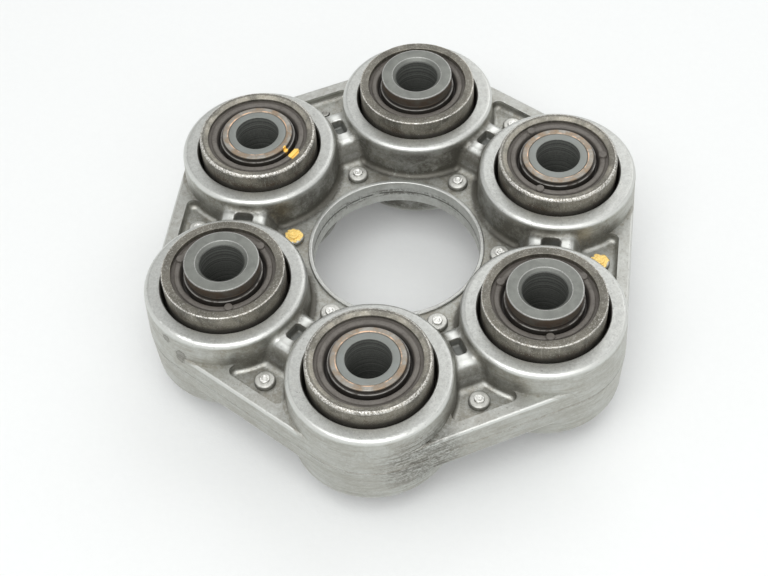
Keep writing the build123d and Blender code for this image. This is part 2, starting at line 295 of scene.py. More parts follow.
class Finish:
    """One material, built from calls and expressions."""

    def __init__(self, name):
        self.material = bpy.data.materials.new(name)
        self.material.use_nodes = True
        self.tree = self.material.node_tree
        self.tree.nodes.clear()

    def node(self, kind, settings=None, inputs=None, output=0):
        """Add a node: its settings first, then the values or links of its inputs."""
        made = self.tree.nodes.new(kind)
        for key, value in (settings or {}).items():
            if key == "stops":
                self.set_stops(made.color_ramp, value)
            else:
                setattr(made, key, value)
        for key, value in (inputs or {}).items():
            target = made.inputs[key] if isinstance(key, int) else socket(made.inputs, key)
            if isinstance(value, Term):
                self.tree.links.new(value.output, target)
            elif target.type == "RGBA" and len(value) == 3:
                target.default_value = (*value, 1.0)
            else:
                target.default_value = value
        if not made.outputs:
            return None
        found = made.outputs[output] if isinstance(output, int) else socket(made.outputs, output)
        return Term(self, found)

    def set_stops(self, ramp, stops):
        """Give a colour ramp its stops, as (place, grey) pairs."""
        while len(ramp.elements) < len(stops):
            ramp.elements.new(1.0)
        for element, (place, grey) in zip(ramp.elements, stops):
            element.position = place
            element.color = (grey, grey, grey, 1.0)

    def math(self, operation, *values):
        """A Math node on numbers and terms."""
        return self.node("ShaderNodeMath", {"operation": operation}, dict(enumerate(values)))

    def least(self, first, second):
        """The smaller of two values."""
        return self.math("MINIMUM", first, second)

    def most(self, first, second):
        """The larger of two values."""
        return self.math("MAXIMUM", first, second)

    def within(self, value, low, high):
        """Rise smoothly from 0 at low to 1 at high, or fall where low is the larger."""
        if low > high:
            return 1.0 - self.within(value, high, low)
        inputs = {"Value": value, "From Min": low, "From Max": high}
        return self.node("ShaderNodeMapRange", {"interpolation_type": "SMOOTHSTEP"}, inputs, "Result")

    def band(self, value, middle, half, soft):
        """1 near a middle value, and 0 beyond half a width and a soft edge."""
        return self.within(abs(value - middle), half + soft, half)

    def mix(self, mask, first, second):
        """Blend two colours by a mask."""
        inputs = {"Factor_Float": mask, "A_Color": first, "B_Color": second}
        return self.node("ShaderNodeMix", {"data_type": "RGBA"}, inputs, "Result_Color")

    def blend(self, mask, first, second):
        """Blend two numbers by a mask."""
        inputs = {"Factor_Float": mask, "A_Float": first, "B_Float": second}
        return self.node("ShaderNodeMix", {"data_type": "FLOAT"}, inputs, "Result_Float")

    def place(self):
        """The point's place in millimetres, on the object."""
        seen = self.node("ShaderNodeTexCoord", None, None, "Object")
        return self.scaled(seen, (1 / MM, 1 / MM, 1 / MM))

    def attribute(self, name, output):
        """A value stored on the mesh."""
        return self.node("ShaderNodeAttribute", {"attribute_name": name}, None, output)

    def scaled(self, vector, factors):
        """A vector with each part multiplied."""
        return self.node("ShaderNodeVectorMath", {"operation": "MULTIPLY"}, {0: vector, 1: factors})

    def parts(self, vector):
        """The three parts of a vector."""
        split = self.node("ShaderNodeSeparateXYZ", None, {"Vector": vector}).output.node
        return [Term(self, out) for out in split.outputs]

    def joined(self, x, y, z):
        """A vector from three parts."""
        return self.node("ShaderNodeCombineXYZ", None, {"X": x, "Y": y, "Z": z})

    def noise(self, vector, scale, detail=3.0, rough=0.55, distortion=0.0):
        """Fractal noise from 0 to 1, with its scale in waves per millimetre."""
        inputs = {"Vector": vector, "Scale": scale, "Detail": detail, "Roughness": rough, "Distortion": distortion}
        return self.node("ShaderNodeTexNoise", None, inputs, 0)

    def cells(self, vector, scale):
        """Distance to the nearest of many random points."""
        return self.node("ShaderNodeTexVoronoi", {"feature": "F1"}, {"Vector": vector, "Scale": scale}, "Distance")

    def bump(self, height, strength, distance):
        """A normal that follows a height in millimetres."""
        inputs = {"Height": height, "Strength": strength, "Distance": distance * MM}
        return self.node("ShaderNodeBump", None, inputs, "Normal")

    def upward(self):
        """How much the surface looks up or down."""
        normal = self.node("ShaderNodeNewGeometry", None, None, "Normal")
        return abs(self.parts(normal)[2])

    def surface(self, **inputs):
        """End the material in one Principled shader."""
        named = {key.replace("_", " "): value for key, value in inputs.items()}
        shader = self.node("ShaderNodeBsdfPrincipled", None, named)
        self.node("ShaderNodeOutputMaterial", None, {"Surface": shader})
        return self.material


def folded(finish, place, first, count):
    """The place seen from the nearest of several directions: outward from it and across it."""
    x, y, _ = finish.parts(place)
    step = math.tau / count
    turn = finish.math("ROUND", (finish.math("ARCTAN2", y, x) - first) / step) * step + first
    cosine = finish.math("COSINE", turn)
    sine = finish.math("SINE", turn)
    return x * cosine + y * sine, y * cosine - x * sine


def distance(finish, along, across):
    """The length of a flat vector."""
    return finish.math("SQRT", along * along + across * across)


# Mesh helpers


def settings(context):
    """All of the coupling's properties."""
    return {key: getattr(context.scene, f"coupling_{key}") for key in GROUPS}


def rounded_outline(corners, steps=6):
    """A closed outline of (radius, height) points, from corners given as (radius, height, rounding)."""
    outline = []
    for index, (radius, height, rounding) in enumerate(corners):
        here = Vector((radius, height))
        before = Vector(corners[index - 1][:2]) - here
        after = Vector(corners[(index + 1) % len(corners)][:2]) - here
        if not rounding:
            outline.append(tuple(here))
            continue
        opening = before.angle(after)
        cut = rounding / math.tan(opening / 2)
        centre = here + (before.normalized() + after.normalized()).normalized() * rounding / math.sin(opening / 2)
        start = here + before.normalized() * cut - centre
        end = here + after.normalized() * cut - centre
        sweep = math.atan2(start.cross(end), start.dot(end))
        for step in range(steps + 1):
            outline.append(tuple(centre + Matrix.Rotation(sweep * step / steps, 2) @ start))
    return outline


def turned_mesh(name, outline, segments):
    """A closed mesh turned about Z from a closed outline of (radius, height) points."""
    shape = bmesh.new()
    turns = [math.tau * index / segments for index in range(segments)]
    rings = [[shape.verts.new((r * math.cos(a), r * math.sin(a), h)) for a in turns] for r, h in outline]
    for lower, upper in zip(rings, rings[1:] + rings[:1]):
        for index in range(segments):
            following = (index + 1) % segments
            shape.faces.new((lower[index], lower[following], upper[following], upper[index]))
    bmesh.ops.recalc_face_normals(shape, faces=shape.faces)
    mesh = bpy.data.meshes.new(name)
    shape.to_mesh(mesh)
    shape.free()
    return mesh


def shown(name, mesh):
    """A new object in the scene."""
    made = bpy.data.objects.new(name, mesh)
    bpy.context.scene.collection.objects.link(made)
    return made


def smooth(piece, degrees=35.0):
    """Shade a piece smoothly, apart from edges sharper than an angle."""
    piece.data.shade_smooth()
    piece.data.set_sharp_from_angle(angle=math.radians(degrees))


def applied(piece):
    """Turn a piece with modifiers into a plain mesh."""
    bpy.context.view_layer.update()
    graph = bpy.context.evaluated_depsgraph_get()
    mesh = bpy.data.meshes.new_from_object(piece.evaluated_get(graph), depsgraph=graph)
    piece.modifiers.clear()
    piece.data = mesh
    mesh.name = piece.name
    return piece


def stand_in(piece, nodes):
    """Hide the CAD nodes it stands in for and attach a finished piece to the root body."""
    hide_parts(*nodes)
    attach(piece, "root")
    return piece


# Casings


def bush_places(layout):
    """The flat places of the bush axes."""
    step = math.tau / layout.bushes
    turns = [layout.first_bush - step * index for index in range(layout.bushes)]
    return [Vector((math.cos(turn), math.sin(turn))) * layout.bolt_circle for turn in turns]


def casing_finish(sizes, smears, chips):
    """Die-cast aluminium, bright on its worn rims, with painted highlights on its rounded edges, shoulders and fillets,
    and grime and painted shade in its corners.
    """
    look = sizes["casting_look"]
    casing = sizes["casing"]
    layout = sizes["layout"]
    finish = Finish("die_cast_aluminium")
    place = finish.place()
    x, y, z = finish.parts(place)
    level = abs(z)
    up = finish.upward()
    first = layout.first_bush
    along, across = folded(finish, place, first, layout.bushes)
    outward = along - layout.bolt_circle / MM
    reach = distance(finish, outward, across)
    bridge_along, bridge_across = folded(finish, place, first - math.pi / layout.bushes, layout.bushes)
    rim_height = casing.rim_height / MM
    floor_height = casing.floor_height / MM
    bore = casing.boss_bore / MM
    root = casing.boss_root / MM
    hole = casing.centre_hole / MM
    bridge_top = casing.bridge_top / MM

    # Patterns: broad clouds, fine grain, streaks and hatching along the sides, and small pits
    cloud = finish.noise(place, 0.11, 4.0, 0.6, 0.4)
    smudge = finish.noise(place, 0.42, 5.0, 0.62, 0.8)
    mottle = finish.noise(place, 1.1, 4.0, 0.7, 0.5)
    grain = finish.noise(place, 2.6, 3.0, 0.6)
    sand = finish.noise(place, 7.0, 2.0, 0.5)
    streak = finish.noise(finish.scaled(place, (0.08, 0.08, 0.9)), 1.0, 5.0, 0.7, 0.1)
    hatch = finish.noise(finish.scaled(place, (0.12, 0.12, 2.4)), 1.0, 4.0, 0.65, 0.05)
    pits = finish.within(finish.cells(place, 0.75), 0.16, 0.08)
    clear_of_boss = finish.within(reach, root + 0.3, root + 0.9)
    ring = finish.math("SQRT", x * x + y * y)
    side = finish.within(up, 0.75, 0.35)

    # Where it is worn bright, and where highlights are painted on rounded edges, shoulders and fillets
    rim = finish.within(level, rim_height - 1.6, rim_height - 0.6)
    inward = finish.within((0.0 - outward) / reach, -0.25, 0.75)
    # Painted highlight along the rounded edges of the rims
    rounded = rim * finish.within(up, 0.985, 0.90) * (1.0 - inward * 0.55)
    bridge = finish.within(level, bridge_top - 3.0, bridge_top - 0.6) * finish.within(reach, root - 0.2, root + 0.8)
    # Painted highlight on the bridge shoulders
    shoulder = finish.within(up, 0.30, 0.75) * bridge
    lip = finish.band(ring, hole + 0.6, 0.6, 0.5) * finish.within(level, 3.4, 3.9)
    skirt_top = finish.band(level, casing.skirt_height / MM, 0.5, 0.5) * clear_of_boss
    # Wear on the rims, the centre lip and the skirt tops, and the painted highlight on the shoulders
    worn = finish.most(rim * 0.85, finish.most(shoulder, finish.most(lip * 0.8, skirt_top * 0.6)))
    worn = finish.within(worn + (smudge - 0.5) * 0.7 + (mottle - 0.5) * 0.5, 0.25, 0.95)

    # Grime and painted shade: grime with painted shade on the inner boss walls, painted shade at the wall feet, on the
    # pocket walls, in the recesses and in the bores round the cans
    high = finish.within(level, rim_height - 0.5, rim_height - 3.0)
    wall = finish.within(reach, root + 2.2, root + 0.5) * high
    centre_side = finish.within(along, 52.0, 40.0)
    foot_shade = finish.within(level, floor_height + 3.0, floor_height + 0.1) * finish.within(reach, root + 2.4, root + 0.6)
    inner_half = finish.within(bridge_along, 42.0, 34.0)
    uneven = finish.within(cloud * 0.5 + smudge * 0.4 + mottle * 0.25, 0.42, 0.72)
    # Grime with painted shade on the inner boss walls, and painted shade at the feet of the walls
    grime_and_shade = wall * inward * (0.35 + uneven * 0.75) + foot_shade * inner_half * (0.4 + uneven * 0.45)
    pocket = finish.band(bridge_along, 47.0, 13.0, 3.0) * finish.band(bridge_across, 0.0, 12.0, 4.0)
    # Painted shade on the walls of the pockets beside the bridges
    pocket_wall_shade = pocket * finish.within(up, 0.92, 0.45) * finish.within(level, bridge_top + 0.5, bridge_top - 4.0)
    grime_and_shade = finish.most(grime_and_shade, pocket_wall_shade * (0.6 + uneven * 0.35))
    corner = finish.band(level, floor_height + 1.0, 0.9, 0.8) * finish.band(reach, root + 0.6, 0.9, 0.8)
    # Painted highlight on the pocket fillets of the outer half
    fillet_highlight = corner * (1.0 - inner_half) * finish.within(up, 0.3, 0.6) * finish.within(up, 0.995, 0.95)
    grime_and_shade = finish.most(grime_and_shade, centre_side * side * uneven * 0.3)
    half_length = casing.recess_length / MM / 2
    half_width = casing.recess_width / MM / 2
    # Painted shade inside the bridge recesses
    recess = finish.band(bridge_along, casing.recess_middle / MM, half_length - 0.3, 0.5)
    recess = recess * finish.band(bridge_across, 0.0, half_width - 0.3, 0.5)
    recess = recess * finish.within(level, bridge_top - 0.6, bridge_top - 1.6)
    # Painted shade in the gap between a boss's bore and its can
    bore_gap_shade = finish.within(reach, bore + 0.35, bore + 0.05) * finish.within(level, rim_height - 0.2, rim_height - 1.2)
    torn = finish.within(ring, hole + 0.4, hole + 0.2) * finish.within(level, 2.2, 0.6)
    torn = torn * finish.within(streak * 0.5 + mottle * 0.5, 0.46, 0.58)
    crumbs = finish.within(finish.noise(place, 1.9, 4.0, 0.75, 0.5), 0.58, 0.66)
    grime_and_shade = grime_and_shade * (1.0 - crumbs * 0.45)
    grime_and_shade = finish.most(finish.most(grime_and_shade, torn * 0.8), bore_gap_shade * 0.9)
    grime_and_shade = finish.math("MINIMUM", grime_and_shade, 1.0)

    # Dark smears where the casings rub against their neighbours
    smear = 0.0
    for centre, radius in smears:
        away = finish.node("ShaderNodeVectorMath", {"operation": "DISTANCE"}, {0: place, 1: centre}, "Value")
        smear = finish.most(smear, finish.within(away, radius, radius * 0.35))
    chipped = 0.0
    for centre, radius in chips:
        away = finish.node("ShaderNodeVectorMath", {"operation": "DISTANCE"}, {0: place, 1: centre}, "Value")
        away = away + (mottle - 0.5) * 2.8 + (grain - 0.5) * 1.2
        chipped = finish.most(chipped, finish.band(away, radius, 0.1, 0.4) * 0.75)
        chipped = finish.most(chipped, finish.within(away, radius, radius - 0.5) * 0.5)
    lines = finish.within(streak * 0.55 + hatch * 0.55, 0.50, 0.66) * side
    parting = finish.within(level, 0.42, 0.16) * side
    smear = smear * finish.within(hatch * 0.7 + mottle * 0.5, 0.48, 0.72)

    # Colours
    skin = finish.mix(finish.within(cloud * 0.5 + mottle * 0.5, 0.38, 0.62), look.skin, look.stain)
    skin = finish.mix(finish.within(smudge, 0.5, 0.72) * 0.45, skin, look.dust)
    # Painted sheen: the side walls outside the pockets are lightened towards the rim colour
    skin = finish.mix(side * (1.0 - pocket) * 0.45, skin, [c * 0.92 for c in look.rim])
    skin = finish.mix(lines * 0.6, skin, look.stain)
    skin = finish.mix(finish.within(hatch, 0.58, 0.68) * side * 0.5, skin, look.dust)
    worn_skin = finish.mix(finish.within(grain * 0.5 + mottle * 0.5, 0.40, 0.62), look.rim, [c * 0.80 for c in look.rim])
    skin = finish.mix(worn, skin, worn_skin)
    skirt_edge = skirt_top * finish.within(up, 0.985, 0.9)
    # Painted highlights on rounded rim edges, shoulders, pocket fillets and skirt edges brighten the skin and lower its
    # roughness
    painted_highlight = finish.most(finish.most(rounded, shoulder), finish.most(fillet_highlight * 0.3, skirt_edge))
    skin = finish.mix(painted_highlight * 0.7, skin, [c * 1.18 for c in look.rim])
    skin = finish.mix(pits * 0.4, skin, [c * 0.4 for c in look.skin])
    skin = finish.mix(smear * 0.85, skin, [c * 0.35 for c in look.stain])
    skin = finish.mix(chipped * 0.85, skin, [c * 0.42 for c in look.stain])
    # Painted shade fills the recesses
    skin = finish.mix(recess * 0.85, skin, look.recess)
    # Painted light: the centre hole's wall is lightened
    skin = finish.mix(finish.within(ring, hole + 0.5, hole + 0.2) * 0.7, skin, [c * 1.15 for c in look.rim])
    skin = finish.mix(parting * finish.within(smudge, 0.25, 0.5) * 0.85, skin, look.grime_and_shade)
    # Grime and painted shade darken the skin
    colour = finish.mix(grime_and_shade, skin, finish.mix(smudge, look.grime_and_shade, [c * 1.9 for c in look.grime_and_shade]))
    # Painted shade: what faces up or down is darkened, to offset the brighter light it catches
    up_down_faces = finish.within(up, 0.60, 0.93) * (1.0 - painted_highlight * 0.5)
    colour = finish.mix(up_down_faces * look.up_down_shade, colour, (0.0, 0.0, 0.0))

    rough = finish.blend(worn, look.dullness + (smudge - 0.5) * 0.22, look.shine + (mottle - 0.5) * 0.3)
    rough = finish.blend(painted_highlight * 0.8, rough, 0.3)
    rough = finish.blend(grime_and_shade, rough, 0.42 + (smudge - 0.5) * 0.3)
    metal = finish.blend(finish.most(grime_and_shade, recess), 1.0, 0.5)

    relief = grain * 0.03 + sand * 0.02 + mottle * 0.045 + smudge * 0.08
    relief = relief + (streak * 0.08 + hatch * 0.05) * side - pits * 0.06
    normal = finish.bump(relief, 0.8, 1.0)
    return finish.surface(Base_Color=colour, Roughness=rough, Metallic=metal, Normal=normal)


SMEARS = [((16.0, -67.0, 0.0), 15.0)]
CHIPS = [((-52.2, -45.8, 6.8), 1.5), ((-52.5, -45.7, 5.2), 1.2), ((-56.1, -43.4, 10.6), 1.1)]


class COUPLING_OT_casings(bpy.types.Operator):
    """Give the two riveted casings their die-cast finish"""

    bl_idname = "coupling.casings"
    bl_label = "Casings"

    def execute(self, context):
        sizes = settings(context)
        material = casing_finish(sizes, SMEARS, CHIPS)
        for name in ("casing_upper", "casing_lower"):
            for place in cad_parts[name].material_slots:
                place.material = material
        return {"FINISHED"}


# Copies round the coupling


def add_node(tree, kind, inputs=None, **values):
    """Add a Geometry Nodes node: its settings first, then the values or links of its inputs."""
    made = tree.nodes.new(kind)
    for key, value in values.items():
        setattr(made, key, value)
    for key, value in (inputs or {}).items():
        target = made.inputs[key] if isinstance(key, int) else socket(made.inputs, key)
        if isinstance(value, bpy.types.NodeSocket):
            tree.links.new(value, target)
        else:
            target.default_value = value
    return made


def ring_tree():
    """Copies of a piece on a circle, each second one turned over where asked, slightly uneven at its ends."""
    tree = bpy.data.node_groups.new("Ring of copies", "GeometryNodeTree")
    face = tree.interface
    face.new_socket("Geometry", in_out="INPUT", socket_type="NodeSocketGeometry")
    for name, kind, default in (
        ("Copies", "NodeSocketInt", 6),
        ("Radius", "NodeSocketFloat", 0.05),
        ("First angle", "NodeSocketFloat", 0.0),
        ("Turned over", "NodeSocketFloat", 0.0),
        ("Left out", "NodeSocketInt", -1),
        ("Unevenness", "NodeSocketFloat", 0.0),
        ("Uneven beyond", "NodeSocketFloat", 1.0),
        ("Seed", "NodeSocketInt", 4),
        ("Finish", "NodeSocketMaterial", None),
    ):
        made = face.new_socket(name, in_out="INPUT", socket_type=kind)
        if default is not None:
            made.default_value = default
    face.new_socket("Geometry", in_out="OUTPUT", socket_type="NodeSocketGeometry")
    given = tree.nodes.new("NodeGroupInput").outputs

    # One point for each copy
    circle = add_node(tree, "GeometryNodeMeshCircle", {"Vertices": given["Copies"], "Radius": given["Radius"]})
    turned = add_node(
        tree,
        "GeometryNodeTransform",
        {
            "Geometry": circle.outputs[0],
            "Rotation": add_node(tree, "ShaderNodeCombineXYZ", {"Z": given["First angle"]}).outputs[0],
        },
    )
    index = add_node(tree, "GeometryNodeInputIndex").outputs[0]
    kept = add_node(tree, "FunctionNodeCompare", {2: index, 3: given["Left out"]}, data_type="INT", operation="NOT_EQUAL")

    # Turned over by half a turn about its own X, and spun at random about its own axis
    odd = add_node(tree, "ShaderNodeMath", {0: index, 1: 2.0}, operation="MODULO")
    over = add_node(tree, "ShaderNodeMath", {0: odd.outputs[0], 1: given["Turned over"]}, operation="MULTIPLY")
    half_turn = add_node(tree, "ShaderNodeMath", {0: over.outputs[0], 1: math.pi}, operation="MULTIPLY")
    spin = add_node(tree, "FunctionNodeRandomValue", {2: 0.0, 3: math.tau, "ID": index, "Seed": given["Seed"]})
    turn = add_node(tree, "ShaderNodeCombineXYZ", {"X": half_turn.outputs[0], "Z": spin.outputs[1]})
    copies = add_node(
        tree,
        "GeometryNodeInstanceOnPoints",
        {
            "Points": turned.outputs[0],
            "Selection": kept.outputs[0],
            "Instance": given["Geometry"],
            "Rotation": turn.outputs[0],
        },
    )
    real = add_node(tree, "GeometryNodeRealizeInstances", {"Geometry": copies.outputs[0]})

    # The ends beyond a level are pushed about a little
    place = add_node(tree, "GeometryNodeInputPosition").outputs[0]
    noise = add_node(tree, "ShaderNodeTexNoise", {"Vector": place, "Scale": 900.0, "Detail": 2.0})
    shift = add_node(tree, "ShaderNodeVectorMath", {0: noise.outputs["Color"], 1: (0.5, 0.5, 0.5)}, operation="SUBTRACT")
    amount = add_node(tree, "ShaderNodeVectorMath", {0: shift.outputs[0], "Scale": given["Unevenness"]}, operation="SCALE")
    level = add_node(tree, "ShaderNodeSeparateXYZ", {0: place})
    height = add_node(tree, "ShaderNodeMath", {0: level.outputs["Z"]}, operation="ABSOLUTE")
    beyond = add_node(tree, "FunctionNodeCompare", {0: height.outputs[0], 1: given["Uneven beyond"]}, operation="GREATER_THAN")
    worn = add_node(
        tree,
        "GeometryNodeSetPosition",
        {"Geometry": real.outputs[0], "Selection": beyond.outputs[0], "Offset": amount.outputs[0]},
    )
    dressed = add_node(tree, "GeometryNodeSetMaterial", {"Geometry": worn.outputs[0], "Material": given["Finish"]})
    out = tree.nodes.new("NodeGroupOutput")
    tree.links.new(dressed.outputs[0], out.inputs[0])
    return tree


def ring_of_copies(name, outline, segments, finish, **inputs):
    """A piece turned from an outline and repeated round the coupling by Geometry Nodes."""
    piece = shown(name, turned_mesh(name, outline, segments))
    smooth(piece)
    tree = bpy.data.node_groups.get("Ring of copies") or ring_tree()
    modifier = piece.modifiers.new("Ring of copies", "NODES")
    modifier.node_group = tree
    values = {key.replace("_", " ").capitalize(): value for key, value in inputs.items()}
    values["Finish"] = finish
    for item in tree.interface.items_tree:
        if item.in_out == "INPUT" and item.name in values:
            modifier[item.identifier] = values[item.name]
    return applied(piece)


# Bushes


def bush_view(finish, sizes):
    """Where a point lies on its bush: outward and across from the axis, distance, level and upwardness."""
    layout = sizes["layout"]
    place = finish.place()
    along, across = folded(finish, place, layout.first_bush, layout.bushes)
    outward = along - layout.bolt_circle / MM
    level = abs(finish.parts(place)[2])
    return place, outward, across, distance(finish, outward, across), level, finish.upward()


def dab(finish, place, centre, radius, ragged):
    """A ragged blot of paint round a place, which runs down the steps under it."""
    run = (1.0, 1.0, 0.35)
    start = Vector(centre) * Vector(run)
    away = finish.node(
        "ShaderNodeVectorMath", {"operation": "DISTANCE"}, {0: finish.scaled(place, run), 1: start}, "Value"
    )
    return finish.within(away + (finish.noise(place, 0.9, 3.0) - 0.5) * ragged, radius + 0.15, radius - 0.15)


def can_finish(sizes):
    """Steel with a brownish patina, worn to bare speckled metal on its rims, with painted shade where it sinks into the
    boss.
    """
    look = sizes["bush_look"]
    can = sizes["can"]
    finish = Finish("can_steel")
    place, outward, across, reach, level, up = bush_view(finish, sizes)
    end = can.end / MM
    outer = can.radius / MM
    streak = finish.noise(finish.joined(outward * 1.5, across * 1.5, level * 0.12), 1.0, 4.0, 0.6)
    cloud = finish.noise(place, 0.16, 4.0, 0.6, 0.5)
    speck = finish.noise(place, 1.9, 5.0, 0.8)
    grain = finish.noise(place, 5.0, 2.0)
    edge = finish.within(up, 0.12, 0.40) * finish.within(up, 0.995, 0.95) * finish.within(reach, outer - 1.5, outer - 0.7)
    edge = edge * finish.within(level, end - 1.2, end - 0.5)
    flat = finish.within(up, 0.93, 0.98) * finish.within(reach, outer - 0.1, outer - 0.7)
    crumbs = finish.noise(place, 3.4, 4.0, 0.8, 0.6)
    bare = edge * finish.within(speck + crumbs * 0.5, 0.66, 0.86) + finish.within(streak, 0.5, 0.8) * 0.3
    near = finish.within(reach, outer - 1.9, outer - 0.5)
    bare = bare + finish.within(crumbs, 0.58, 0.66) * (0.35 + near * 0.45)
    bare = finish.math("MINIMUM", bare, 1.0)
    # Painted shade where the can sinks into the boss's bore
    low = finish.within(level, end - 4.0, end - 5.4)
    patina = finish.mix(finish.within(cloud, 0.36, 0.64), [c * 1.2 for c in look.can], [c * 0.6 for c in look.can])
    patina = finish.mix(finish.within(speck * 0.7 + cloud * 0.4, 0.52, 0.38) * 0.6, patina, look.rust)
    lower = finish.within(level, end - 1.6, end - 4.6) * finish.within(streak * 0.5 + cloud * 0.6, 0.46, 0.66)
    patina = finish.mix(lower * 0.65, patina, look.rust)
    patina = finish.mix(flat * 0.7, patina, [c * 0.4 for c in look.can])
    colour = finish.mix(bare, patina, look.can_bare)
    # Painted shade on the can below the boss rim
    colour = finish.mix(low * 0.8, colour, [c * 0.2 for c in look.can])
    rough = finish.blend(bare, 0.5 + (cloud - 0.5) * 0.25, 0.36)
    metal = finish.blend(low, 0.9, 0.4)
    relief = speck * 0.10 + crumbs * 0.05 + grain * 0.03 + streak * 0.04
    return finish.surface(Base_Color=colour, Roughness=rough, Metallic=metal, Normal=finish.bump(relief, 1.0, 1.0))


def rubber_finish(sizes, paint_spots):
    """Dusty dark rubber, paler on its worn ridge, with painted shade in its moat."""
    look = sizes["bush_look"]
    rubber = sizes["rubber"]
    finish = Finish("bush_rubber")
    place, outward, across, reach, level, up = bush_view(finish, sizes)
    cloud = finish.noise(place, 0.3, 4.0, 0.6, 0.5)
    dust = finish.noise(place, 1.8, 4.0, 0.7)
    grain = finish.noise(place, 4.5, 2.0)
    top = rubber.ridge_top / MM
    ridge = finish.within(level, top - 0.75, top - 0.2)
    pale = ridge * finish.within(dust * 0.5 + cloud * 0.6, 0.3, 0.65)
    # Painted shade in the moat and below the ridge
    deep_shade = finish.within(level, top - 0.8, top - 2.2)
    colour = finish.mix(pale, look.rubber, look.rubber_worn)
    colour = finish.mix(finish.within(dust, 0.6, 0.78) * 0.3, colour, [c * 1.3 for c in look.rubber_worn])
    colour = finish.mix(deep_shade * 0.8, colour, [c * 0.35 for c in look.rubber])
    paint = 0.0
    for centre, radius in paint_spots:
        paint = finish.most(paint, dab(finish, place, centre, radius, 2.6))
    colour = finish.mix(paint, colour, sizes["rivet_look"].paint)
    rough = finish.blend(pale, 0.78, 0.5 + (dust - 0.5) * 0.2)
    relief = grain * 0.03 + dust * 0.05
    return finish.surface(Base_Color=colour, Roughness=rough, Normal=finish.bump(relief, 0.7, 1.0))


def ring_finish(sizes, paint_spots):
    """Steel under a dull copper-brown film, with painted shade below its faces and a painted highlight on its shoulder.
    """
    look = sizes["bush_look"]
    finish = Finish("inner_ring_copper")
    place, outward, across, reach, level, up = bush_view(finish, sizes)
    end = sizes["sleeve"].ring_end / MM
    cloud = finish.noise(place, 0.35, 4.0, 0.6, 0.5)
    speck = finish.noise(place, 2.5, 3.0, 0.7)
    face = finish.within(level, end - 0.4, end - 0.1)
    worn = face * finish.within(speck * 0.5 + cloud * 0.6, 0.5, 0.75)
    grey = (0.24, 0.23, 0.205)
    colour = finish.mix(finish.within(cloud, 0.35, 0.6), look.copper, grey)
    colour = finish.mix(finish.within(speck, 0.45, 0.7) * 0.5, colour, [c * 0.5 for c in look.copper])
    colour = finish.mix(worn * 0.2, colour, look.can_bare)
    inner = sizes["sleeve"].sleeve_radius / MM
    line = finish.band(reach, inner + 0.28, 0.08, 0.14) * face * finish.within(cloud, 0.46, 0.62)
    colour = finish.mix(line * 0.6, colour, look.copper_bright)
    # Painted shade below the ring's faces, down its necks and into the moat
    low = finish.within(level, end - 0.2, end - 0.7)
    colour = finish.mix(low * 0.95, colour, [c * 0.5 for c in look.rubber])
    shoulder = sizes["sleeve"].ring_radius / MM
    # Painted highlight on the ring's shoulder edge
    rubbed = finish.band(reach, shoulder - 0.2, 0.08, 0.12) * finish.within(cloud, 0.35, 0.55) * low
    colour = finish.mix(rubbed * 0.25, colour, look.can_bare)
    paint = 0.0
    for centre, radius in paint_spots:
        paint = finish.most(paint, dab(finish, place, centre, radius, 1.2))
    colour = finish.mix(paint, colour, sizes["rivet_look"].paint)
    rough = finish.blend(worn, 0.5, 0.36)
    metal = finish.blend(low, 0.85, 0.4)
    relief = speck * 0.04 + cloud * 0.03
    return finish.surface(Base_Color=colour, Roughness=rough, Metallic=metal, Normal=finish.bump(relief, 0.6, 1.0))


def sleeve_finish(sizes):
    """Grey phosphated steel, lighter on its edges, with painted shade and lighter grooves in its bore."""
    look = sizes["bush_look"]
    sleeve = sizes["sleeve"]
    finish = Finish("phosphated_steel")
    place, outward, across, reach, level, up = bush_view(finish, sizes)
    bore = sleeve.bore_radius / MM
    flange = sleeve.flange_radius / MM
    top = sleeve.flange_top / MM
    cloud = finish.noise(place, 0.28, 4.0, 0.6, 0.5)
    speck = finish.noise(place, 3.0, 4.0, 0.7)
    groove = finish.noise(finish.joined(0.0, 0.0, level * 1.6 + cloud * 0.4), 1.0, 3.0)
    turning = finish.noise(finish.joined(reach * 5.0, 0.0, 0.0), 1.0, 2.0)
    flange_edge = finish.band(reach, flange - 0.1, 0.15, 0.2) * finish.band(level, top - 0.1, 0.15, 0.25)
    mouth_edge = finish.band(reach, bore + sleeve.mouth / MM, 0.06, 0.14) * finish.within(level, top - 0.3, top - 0.1)
    bare = finish.most(flange_edge, mouth_edge) * finish.within(speck + cloud * 0.3, 0.4, 0.75)
    side = finish.within(up, 0.5, 0.2) * finish.within(reach, flange - 0.6, flange - 0.2)
    inside = finish.within(reach, bore + 0.5, bore + 0.02)
    colour = finish.mix(finish.within(cloud, 0.3, 0.7), look.sleeve, [c * 0.8 for c in look.sleeve])
    colour = finish.mix(finish.within(speck, 0.58, 0.75) * 0.3, colour, look.sleeve_bare)
    plain_end = finish.within(level, top - 1.5, top - 2.5)
    colour = finish.mix(plain_end * (0.3 + finish.within(cloud, 0.35, 0.65) * 0.5), colour, [0.215, 0.23, 0.22])
    colour = finish.mix(side * (0.4 + finish.within(cloud, 0.25, 0.65) * 0.45), colour, look.rust)
    # Painted shade in the bolt hole, with lighter turning grooves
    bore_shade_and_grooves = finish.mix(finish.within(groove + speck * 0.4, 0.6, 0.8), [c * 0.35 for c in look.sleeve], look.sleeve)
    colour = finish.mix(inside * 0.85, colour, bore_shade_and_grooves)
    colour = finish.mix(bare * 0.7, colour, look.sleeve_bare)
    rough = finish.blend(bare, 0.46 + (cloud - 0.5) * 0.2, 0.32)
    relief = speck * 0.03 + turning * up * 0.02 + groove * inside * 0.03
    metal = finish.blend(inside, 0.6, 0.25)
    return finish.surface(Base_Color=colour, Roughness=rough, Metallic=metal, Normal=finish.bump(relief, 0.7, 1.0))


